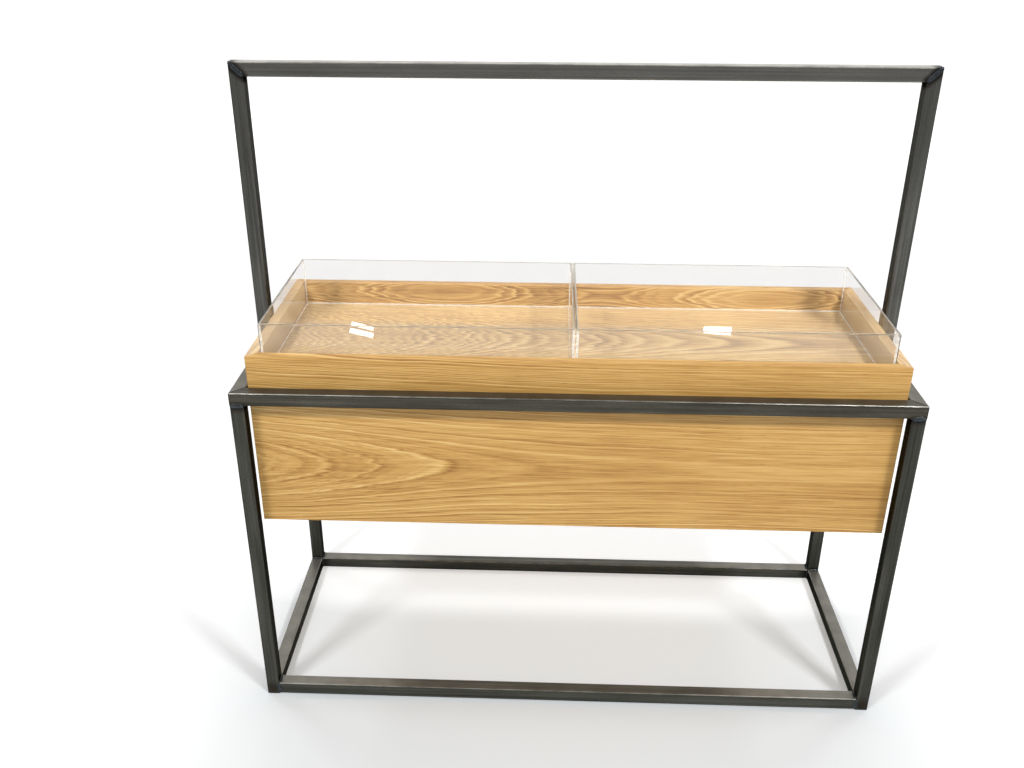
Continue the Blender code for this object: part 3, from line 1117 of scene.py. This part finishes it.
@dataclass
class AcrylicBin:
    """One lift-out bin, cemented from five sheets."""

    end: str
    low: Vector
    high: Vector
    sheet: float
    edge: float = 0.0005
    film: float = 0.00012
    film_inset: float = 0.0004
    cove: float = 0.0011
    bloom: float = 0.002

    @classmethod
    def read(cls, end: str) -> "AcrylicBin":
        """Reads the bin's size from its sheets.

        Args:
            end: Which bin, left or right.

        Returns:
            The bin.
        """
        front_low, front_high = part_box(f"{end}_bin_front")
        _, rear_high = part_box(f"{end}_bin_rear")
        return cls(end, front_low, rear_high, front_high.y - front_low.y)

    @property
    def middle(self) -> Vector:
        """The middle of the bin."""
        return (self.low + self.high) / 2

    @property
    def size(self) -> Vector:
        """The bin's size along each axis."""
        return self.high - self.low

    def build(self, clear: Material, cement: Material) -> Piece:
        """Builds the bin in one piece, and the cement in its joints.

        Args:
            clear: The acrylic's material.
            cement: The cement's material.

        Returns:
            The clear bin.
        """
        sheets = [f"{self.end}_bin_{sheet}" for sheet in ("front", "rear", "left_end", "right_end", "floor")]
        body = f"{self.end}_bin"
        shell = new_piece(f"{self.end}_clear_bin", self.shell(), clear, body)
        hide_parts(*sheets)
        new_piece(f"{self.end}_bin_cement", self.cement(), cement, body)
        return shell

    def shell(self) -> Mesh:
        """Models the open bin with its polished edges.

        Returns:
            The mesh.
        """
        bm = bmesh.new()
        add_block(bm, self.middle, self.size)
        top = max(bm.faces, key=height_of)
        bmesh.ops.inset_region(bm, faces=[top], thickness=self.sheet)
        sunk = bmesh.ops.extrude_face_region(bm, geom=[top])
        bmesh.ops.delete(bm, geom=[top], context="FACES_ONLY")
        verts = [item for item in sunk["geom"] if isinstance(item, bmesh.types.BMVert)]
        bmesh.ops.translate(bm, verts=verts, vec=(0, 0, self.sheet - self.size.z))
        bmesh.ops.recalc_face_normals(bm, faces=bm.faces)
        edges = [edge for edge in bm.edges if edge.is_convex]
        bmesh.ops.bevel(
            bm, geom=edges, offset=self.edge, affect="EDGES", segments=2, profile=0.5, material=-1
        )
        return bm

    def cement(self) -> Mesh:
        """Models the cement: films in the joints, bloom at the top and coves along the floor.

        Returns:
            The mesh.
        """
        bm = bmesh.new()
        for middle, size in itertools.chain(self.films(), self.blooms()):
            add_block(bm, middle, size)
        self.add_coves(bm)
        return bm

    def films(self) -> Iterator[tuple[Triple, Triple]]:
        """Measures the films of cement, upright at the corners and along the floor's edges.

        Returns:
            The middle and size of each.
        """
        low, high, middle, size = self.low, self.high, self.middle, self.size
        width = self.sheet - 2 * self.film_inset
        floor = low.z + self.sheet / 2
        for y in (low.y + self.sheet, high.y - self.sheet):
            for x in (low.x + self.sheet / 2, high.x - self.sheet / 2):
                yield (x, y, middle.z), (width, self.film, size.z - 2 * self.film_inset)
            yield (middle.x, y, floor), (size.x - 2 * self.sheet, self.film, width)
        for x in (low.x + self.sheet, high.x - self.sheet):
            yield (x, middle.y, floor), (self.film, size.y - 2 * (self.sheet + self.film_inset), width)

    def blooms(self) -> Iterator[tuple[Triple, Triple]]:
        """Measures the pale blooms, just under the sheets' sawn top edges.

        Returns:
            The middle and size of each.
        """
        low, high, middle, size = self.low, self.high, self.middle, self.size
        top = high.z - self.film_inset / 2
        for y in (low.y + self.sheet / 2, high.y - self.sheet / 2):
            yield (middle.x, y, top), (size.x - 2 * self.film_inset, self.bloom, self.film)
        for x in (low.x + self.sheet / 2, high.x - self.sheet / 2):
            yield (x, middle.y, top), (self.bloom, size.y - 2 * self.sheet, self.film)

    def add_coves(self, bm: Mesh) -> None:
        """Adds the cement that was squeezed out along the floor's edges: a ring of triangular section.

        Args:
            bm: The mesh to add it to.
        """
        clear = self.sheet + self.film
        low = self.low + Vector((clear, clear, clear))
        high = Vector((self.high.x - clear, self.high.y - clear, low.z + self.cove))
        faces = {face for vert in add_block(bm, (low + high) / 2, high - low) for face in vert.link_faces}
        top = max(faces, key=height_of)
        under = min(faces, key=height_of)
        bmesh.ops.inset_region(bm, faces=[under], thickness=self.cove)
        bmesh.ops.inset_region(bm, faces=[top], thickness=self.film)
        bmesh.ops.bridge_loops(bm, edges=[*under.edges, *top.edges])
        bmesh.ops.delete(bm, geom=[under, top], context="FACES_ONLY")
        bmesh.ops.recalc_face_normals(bm, faces=bm.faces)


@dataclass
class SmallParts:
    """The leg plugs, and the screws and spacers that hang the box."""

    zinc: GrainyFinish = GrainyFinish(
        "Zinc plate",
        dark=(0.38, 0.38, 0.37),
        pale=(0.62, 0.62, 0.60),
        metallic=1.0,
        roughness=(0.28, 0.42),
        grain=Noise((700.0, 700.0, 700.0), 3.0),
    )
    nylon: GrainyFinish = GrainyFinish(
        "Black nylon",
        dark=(0.012, 0.012, 0.012),
        pale=(0.026, 0.026, 0.025),
        metallic=0.0,
        roughness=(0.42, 0.58),
        grain=Noise((900.0, 900.0, 900.0), 3.0),
    )

    def dress(self) -> None:
        """Dresses the small parts."""
        spots = [f"{end}_{place}" for end in ENDS for place in ("front", "middle", "rear")]
        moulded = [f"box_spacer_{spot}" for spot in spots] + [f"leg_plug_{corner}" for corner in CORNERS]
        dress(self.zinc.material(), tuple(f"box_screw_{spot}" for spot in spots))
        dress(self.nylon.material(), tuple(moulded))


@dataclass(frozen=True)
class Softbox:
    """A soft lamp: its middle, its width and height, its radiance, its aim, and its roll in degrees."""

    name: str
    place: Triple
    size: Pair
    glow: float
    aim: Triple = (0.0, 0.0, 0.6)
    roll: float = 0.0

    def hang(self) -> Piece:
        """Hangs the lamp, out of the camera's sight.

        Returns:
            The lamp.
        """
        light = bpy.data.lights.new(self.name, "AREA")
        light.shape = "RECTANGLE"
        light.size, light.size_y = self.size
        light.energy = LAMP_WATTS * self.glow * self.size[0] * self.size[1]
        lamp = bpy.data.objects.new(self.name, light)
        lamp.location = self.place
        facing = (Vector(self.aim) - Vector(self.place)).to_track_quat("-Z", "Y").to_matrix()
        lamp.rotation_euler = (facing @ Matrix.Rotation(math.radians(self.roll), 3, "Z")).to_euler()
        lamp.visible_camera = False
        lamp.visible_transmission = False
        bpy.context.scene.collection.objects.link(lamp)
        return lamp


@dataclass(frozen=True)
class Glint:
    """A small lamp that a bin's floor mirrors at one pixel of the photograph; its roll is in degrees."""

    name: str
    pixel: Pair
    size: Pair
    roll: float = 0.0


@dataclass
class Studio:
    """The pale floor, the soft lights and the camera at the photograph's angle.

    Each of the floor's whites begins at its first distance, is full at its second, and is as strong as its
    third number.
    """

    eye: Vector
    pitch: float
    yaw: float
    roll: float
    focal_pixels: float
    sheet_height: float
    view_end: float = 160.0
    floor_half: float = 40.0
    floor_drop: float = 0.0002
    floor_roughness: float = 0.9
    floor_cloud: Noise = Noise((0.7, 0.7, 0.7), 2.0)
    cloud_reach: Pair = (-0.3, 0.3)
    floor_near: tuple[Triple, Triple] = ((0.83, 0.865, 0.89), (0.84, 0.875, 0.90))
    floor_far: Triple = (0.865, 0.865, 0.865)
    far_reach: Pair = (0.6, 1.2)
    white_beside: Triple = (0.4, 1.0, 0.33)
    white_behind: Triple = (0.0, 0.2, 0.5)
    white_open: Triple = (0.5, 1.2, -0.18)
    white_far: Triple = (2.0, 6.0, 0.45)
    white_before: Triple = (-0.55, -1.5, 0.4)
    sky: Triple = (1.0, 0.995, 0.985)
    sky_glow: float = 0.32
    softboxes: tuple[Softbox, ...] = (
        Softbox("back_softbox", (0.0, 2.6, 3.5), (5.0, 2.2), 0.25),
        Softbox("back_panel", (0.0, 6.0, 2.4), (9.0, 3.4), 0.75),
        Softbox("left_front_lamp", (-1.9, -2.38, 3.25), (0.6, 0.36), 65.0),
        Softbox("left_back_lamp", (-2.3, 1.32, 3.65), (0.8, 0.6), 8.0),
        Softbox("right_front_lamp", (1.9, -2.38, 3.25), (0.6, 0.36), 86.0),
        Softbox("right_back_lamp", (2.3, 1.32, 3.65), (0.8, 0.6), 8.0),
    )
    unmirrored: str = "back_panel"
    glint_height: float = 2.8
    glint_glow: float = 0.5
    glint_spread: float = math.radians(8.0)
    glints: tuple[Glint, ...] = (
        Glint("left_upper_lamp", (362.5, 326.0), (0.165, 0.026), -17.0),
        Glint("left_lower_lamp", (361.5, 332.6), (0.170, 0.034), -17.0),
        Glint("right_lamp", (717.5, 328.5), (0.20, 0.08)),
    )

    def build(self, bins: list[Piece]) -> None:
        """Sets the stage.

        Args:
            bins: The clear bins, which alone show the glints and don't mirror the back panel.
        """
        self.build_floor()
        self.build_sky()
        self.build_camera()
        unlit, mirrors = (bpy.data.collections.new(name) for name in ("panel_unlit", "glint_mirrors"))
        for clear_bin in bins:
            unlit.objects.link(clear_bin)
            mirrors.objects.link(clear_bin)
        for member in unlit.collection_objects:
            member.light_linking.link_state = "EXCLUDE"
        for softbox in self.softboxes:
            lamp = softbox.hang()
            if softbox.name == self.unmirrored:
                lamp.light_linking.receiver_collection = unlit
        for glint in self.glints:
            lamp = self.mirrored(glint).hang()
            lamp.light_linking.receiver_collection = mirrors
            lamp.visible_diffuse = False
            lamp.visible_transmission = True
            lamp.data.spread = self.glint_spread
        bpy.context.scene.view_settings.view_transform = "Standard"

    def build_floor(self) -> None:
        """Lays a pale floor that reaches past the view. Its glow, seen by the camera and through the bins,
        is painted
        light: it whitens the floor away from the case and over the case's shadows beside and behind it. Near
        the case the floor is bluer, which offsets the oak's warm light on it.
        """
        graph = MaterialGraph("Pale floor")
        cloud = graph.noise(self.floor_cloud, graph.place)
        sight = graph.add("ShaderNodeLightPath").outputs
        x, y, _ = graph.split(graph.place)
        distance = graph.vector("LENGTH", graph.place)
        beside, behind, clearing, far, before = (
            graph.ease(value, start, end, 0.0, share)
            for value, (start, end, share) in (
                (graph.math("ABSOLUTE", x), self.white_beside),
                (y, self.white_behind),
                (y, self.white_open),
                (distance, self.white_far),
                (y, self.white_before),
            )
        )
        # The glow is painted light over the case's shadows beside and behind it, and on the far floor.
        around = graph.math("MAXIMUM", beside, graph.plus(behind, clearing))
        white = graph.plus(around, far, before)
        # The bluer paint near the case offsets the oak's warm light on the floor.
        paint = graph.mix(graph.ease(cloud, *self.cloud_reach), *self.floor_near)
        material = graph.complete(
            Base_Color=graph.mix(graph.ease(distance, *self.far_reach), paint, self.floor_far),
            Roughness=self.floor_roughness,
            Specular_IOR_Level=0.0,
            Emission_Color=graph.mix(white, BLACK, WHITE),
            Emission_Strength=graph.math("MAXIMUM", sight["Is Camera Ray"], sight["Is Transmission Ray"]),
        )
        bm = bmesh.new()
        bmesh.ops.create_grid(bm, x_segments=1, y_segments=1, size=self.floor_half)
        bmesh.ops.translate(bm, verts=bm.verts, vec=(0, 0, -self.floor_drop))
        new_object("floor", bm, material)

    def build_sky(self) -> None:
        """Lights the room evenly, and shows white beyond the floor."""
        world = bpy.data.worlds.new("Studio")
        world.use_nodes = True
        world.node_tree.nodes.clear()
        graph = Graph(world.node_tree)
        sight = graph.add("ShaderNodeLightPath").outputs["Is Camera Ray"]
        glow = graph.ease(sight, 0.0, 1.0, self.sky_glow, 1.0)
        background = graph.add("ShaderNodeBackground", (*self.sky, 1.0), glow)
        graph.show(background.outputs[0], "ShaderNodeOutputWorld")
        bpy.context.scene.world = world

    def mirrored(self, glint: Glint) -> Softbox:
        """Places a small lamp where the bins mirror it at its pixel of the photograph.

        Args:
            glint: What it is like, with the pixel from the photograph's top left corner.

        Returns:
            The lamp.
        """
        across, down = glint.pixel[0] - PHOTO_WIDTH / 2, glint.pixel[1] - PHOTO_HEIGHT / 2
        way = self.turn() @ Vector((across, -down, -self.focal_pixels))
        spot = self.eye + way * ((self.sheet_height - self.eye.z) / way.z)
        back = Vector((way.x, way.y, -way.z))
        place = spot + back * ((self.glint_height - spot.z) / back.z)
        return Softbox(glint.name, tuple(place), glint.size, self.glint_glow, tuple(spot), glint.roll)

    def turn(self) -> Matrix:
        """The rotation from the camera's axes to the world's."""
        level = Euler((math.radians(90.0) - self.pitch, 0.0, -self.yaw), "XYZ").to_matrix()
        return level @ Matrix.Rotation(self.roll, 3, "Z")

    def build_camera(self) -> None:
        """Sets the camera where the photograph was taken from."""
        data = bpy.data.cameras.new("camera")
        data.sensor_width = SENSOR_WIDTH
        data.lens = self.focal_pixels / PHOTO_WIDTH * SENSOR_WIDTH
        data.clip_end = self.view_end
        camera = bpy.data.objects.new("camera", data)
        camera.matrix_world = Matrix.Translation(self.eye) @ self.turn().to_4x4()
        bpy.context.scene.collection.objects.link(camera)
        bpy.context.scene.camera = camera


def main() -> None:
    """Builds the pieces and the stage in order."""
    logging.basicConfig(level=logging.INFO, format="%(message)s")
    studio = Studio(
        eye=Vector((-0.0529, -1.7936, 1.4801)),
        pitch=math.radians(25.965),
        yaw=math.radians(-2.062),
        roll=math.radians(0.160),
        focal_pixels=1007.4,
        sheet_height=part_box("left_bin_floor")[1].z,
    )
    steel = SteelFrame(FrameSizes.read())
    steel.build()
    steel.dress()
    OakBox().dress()
    bins = [AcrylicBin.read(end) for end in ENDS]
    clear = AcrylicFinish().material(bins[0].high.z)
    cement = CementFinish().material()
    clear_bins = [part.build(clear, cement) for part in bins]
    SmallParts().dress()
    studio.build(clear_bins)


if __name__ == "__main__":
    main()
